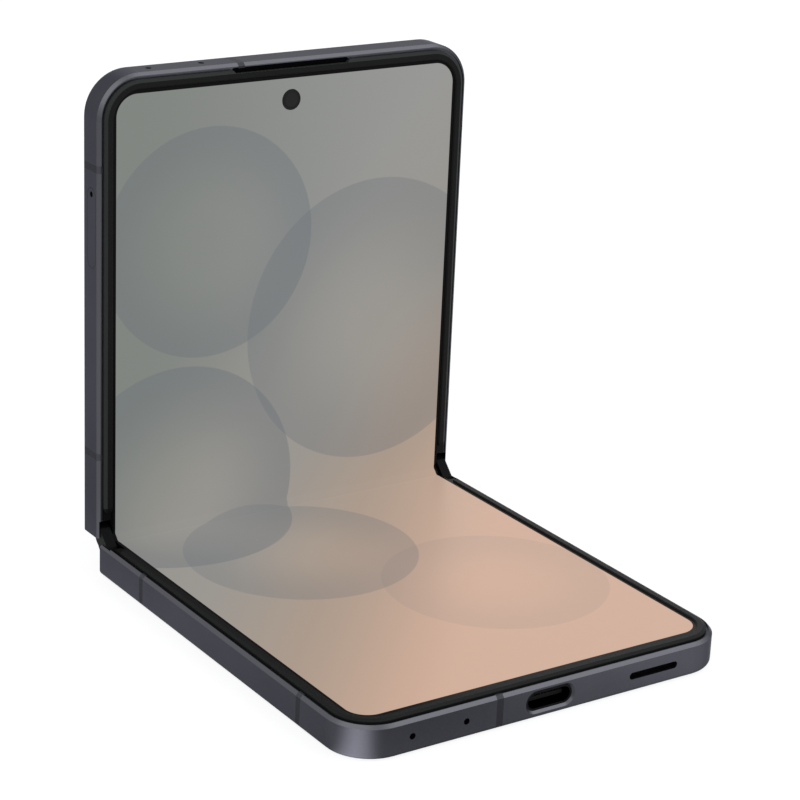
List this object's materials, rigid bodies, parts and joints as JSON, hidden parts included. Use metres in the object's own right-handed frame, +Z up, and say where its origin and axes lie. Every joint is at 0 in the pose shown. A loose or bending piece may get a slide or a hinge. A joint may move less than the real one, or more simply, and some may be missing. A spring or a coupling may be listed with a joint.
{
  "type": "foldable smartphone",
  "caption": "Clamshell folding phone opened to a right angle, with a bending screen over a geared synchronising hinge, side keys and a sliding card tray.",
  "frame": {"origin": "centre of the lower half's back face, in the plane of that face", "axes": "+Z up out of the lower half's screen, +Y along the lower half from its free end to the fold, X along the fold with the side keys at +X"},
  "size_m": [0.0756, 0.0908, 0.0899],
  "materials": {
    "frame_metal": "satin anodised",
    "band_plastic": "matt",
    "rear_glass": "frosted, opaque",
    "bezel_plastic": "satin",
    "screen_panel": "glossy, lit",
    "screen_plate": "matt",
    "battery_foil": "foil wrapped",
    "copper_coil": "lacquered wire",
    "circuit_board": "solder resist",
    "shield_steel": "satin",
    "tongue_plastic": "moulded",
    "module_plastic": "moulded",
    "mesh_steel": "woven",
    "hinge_steel": "sintered",
    "hinge_cover_metal": "satin anodised",
    "cap_plastic": "satin",
    "display_glass": "glossy black",
    "camera_metal": "turned",
    "lens_glass": "coated",
    "tray_metal": "satin anodised",
    "key_metal": "satin anodised"
  },
  "bodies": {
    "lower_half": {"lower_frame": "frame_metal", "lower_antenna_bands": "band_plastic", "lower_rear_cover": "rear_glass", "lower_bezel": "bezel_plastic", "lower_screen": "screen_panel", "lower_screen_plate": "screen_plate", "lower_battery": "battery_foil", "charging_coil": "copper_coil", "charging_board": "circuit_board", "usb_port": "shield_steel", "usb_tongue": "tongue_plastic", "loudspeaker": "module_plastic", "loudspeaker_mesh": "mesh_steel", "bottom_microphones": "module_plastic", "vibration_motor": "module_plastic", "lower_hinge_bracket_left": "hinge_steel", "lower_hinge_bracket_right": "hinge_steel", "lower_screws": "shield_steel"},
    "hinge_spine": {"hinge_cover": "hinge_cover_metal", "hinge_base_left": "hinge_steel", "hinge_base_right": "hinge_steel", "hinge_shafts": "shield_steel", "friction_springs": "shield_steel", "hinge_end_caps": "cap_plastic", "hinge_flex": "circuit_board", "fold_screen": "screen_panel"},
    "upper_half": {"upper_frame": "frame_metal", "upper_antenna_bands": "band_plastic", "upper_rear_cover": "rear_glass", "cover_display": "display_glass", "upper_bezel": "bezel_plastic", "upper_screen": "screen_panel", "upper_screen_plate": "screen_plate", "upper_battery": "battery_foil", "main_board": "circuit_board", "board_shields": "shield_steel", "wide_camera": "module_plastic", "ultrawide_camera": "module_plastic", "camera_rings": "camera_metal", "camera_glasses": "lens_glass", "flash_lens": "lens_glass", "selfie_camera": "module_plastic", "earpiece": "module_plastic", "top_microphones": "module_plastic", "sim_reader": "circuit_board", "key_switches": "circuit_board", "upper_hinge_bracket_left": "hinge_steel", "upper_hinge_bracket_right": "hinge_steel", "upper_screws": "shield_steel"},
    "lower_timing_arm_left": {"lower_timing_arm_left": "hinge_steel"},
    "lower_timing_arm_right": {"lower_timing_arm_right": "hinge_steel"},
    "upper_timing_arm_left": {"upper_timing_arm_left": "hinge_steel"},
    "upper_timing_arm_right": {"upper_timing_arm_right": "hinge_steel"},
    "lower_idler_left": {"lower_idler_left": "hinge_steel"},
    "lower_idler_right": {"lower_idler_right": "hinge_steel"},
    "upper_idler_left": {"upper_idler_left": "hinge_steel"},
    "upper_idler_right": {"upper_idler_right": "hinge_steel"},
    "sim_tray": {"sim_tray": "tray_metal"},
    "power_key": {"power_key": "key_metal"},
    "volume_key": {"volume_key": "key_metal"}
  },
  "joints": [
    {"name": "lower_fold", "type": "hinge", "parent": "lower_half", "child": "hinge_spine", "pos_m": [0, 0.04093, 0.0062], "axis": [1, 0, 0], "range_deg": [-45, 45], "deforming": ["fold_screen"]},
    {"name": "upper_fold", "type": "hinge", "parent": "hinge_spine", "child": "upper_half", "pos_m": [0, 0.04199, 0.00726], "axis": [1, 0, 0], "range_deg": [-45, 45]},
    {"name": "lower_timing_arm_left_turn", "type": "hinge", "parent": "hinge_spine", "child": "lower_timing_arm_left", "pos_m": [0, 0.041, 0.00423], "axis": [1, 0, 0], "range_deg": [-45, 45]},
    {"name": "lower_idler_left_turn", "type": "hinge", "parent": "hinge_spine", "child": "lower_idler_left", "pos_m": [0, 0.04209, 0.0051], "axis": [1, 0, 0], "range_deg": [-45, 45]},
    {"name": "upper_idler_left_turn", "type": "hinge", "parent": "hinge_spine", "child": "upper_idler_left", "pos_m": [0, 0.04308, 0.00609], "axis": [1, 0, 0], "range_deg": [-45, 45]},
    {"name": "upper_timing_arm_left_turn", "type": "hinge", "parent": "hinge_spine", "child": "upper_timing_arm_left", "pos_m": [0, 0.04396, 0.00718], "axis": [1, 0, 0], "range_deg": [-45, 45]},
    {"name": "lower_timing_arm_right_turn", "type": "hinge", "parent": "hinge_spine", "child": "lower_timing_arm_right", "pos_m": [0, 0.041, 0.00423], "axis": [1, 0, 0], "range_deg": [-45, 45]},
    {"name": "lower_idler_right_turn", "type": "hinge", "parent": "hinge_spine", "child": "lower_idler_right", "pos_m": [0, 0.04209, 0.0051], "axis": [1, 0, 0], "range_deg": [-45, 45]},
    {"name": "upper_idler_right_turn", "type": "hinge", "parent": "hinge_spine", "child": "upper_idler_right", "pos_m": [0, 0.04308, 0.00609], "axis": [1, 0, 0], "range_deg": [-45, 45]},
    {"name": "upper_timing_arm_right_turn", "type": "hinge", "parent": "hinge_spine", "child": "upper_timing_arm_right", "pos_m": [0, 0.04396, 0.00718], "axis": [1, 0, 0], "range_deg": [-45, 45]},
    {"name": "sim_tray_slide", "type": "slide", "parent": "upper_half", "child": "sim_tray", "axis": [-1, 0, 0], "range_m": [0, 0.012]},
    {"name": "power_key_press", "type": "slide", "parent": "upper_half", "child": "power_key", "axis": [-1, 0, 0], "range_m": [0, 0.00025], "stiffness_N_per_m": 1000, "springref_m": -0.0012},
    {"name": "volume_key_rock", "type": "hinge", "parent": "upper_half", "child": "volume_key", "pos_m": [0.03555, 0.04509, 0.06131], "axis": [0, 1, 0], "range_deg": [-1.2, 1.2], "stiffness_Nm_per_rad": 0.3}
  ],
  "couplings": [
    {"joint": "upper_fold", "follows": "lower_fold", "ratio": 1},
    {"joint": "lower_timing_arm_left_turn", "follows": "lower_fold", "ratio": -1},
    {"joint": "lower_idler_left_turn", "follows": "lower_fold", "ratio": 1},
    {"joint": "upper_idler_left_turn", "follows": "lower_fold", "ratio": -1},
    {"joint": "upper_timing_arm_left_turn", "follows": "lower_fold", "ratio": 1},
    {"joint": "lower_timing_arm_right_turn", "follows": "lower_fold", "ratio": -1},
    {"joint": "lower_idler_right_turn", "follows": "lower_fold", "ratio": 1},
    {"joint": "upper_idler_right_turn", "follows": "lower_fold", "ratio": -1},
    {"joint": "upper_timing_arm_right_turn", "follows": "lower_fold", "ratio": 1}
  ]
}
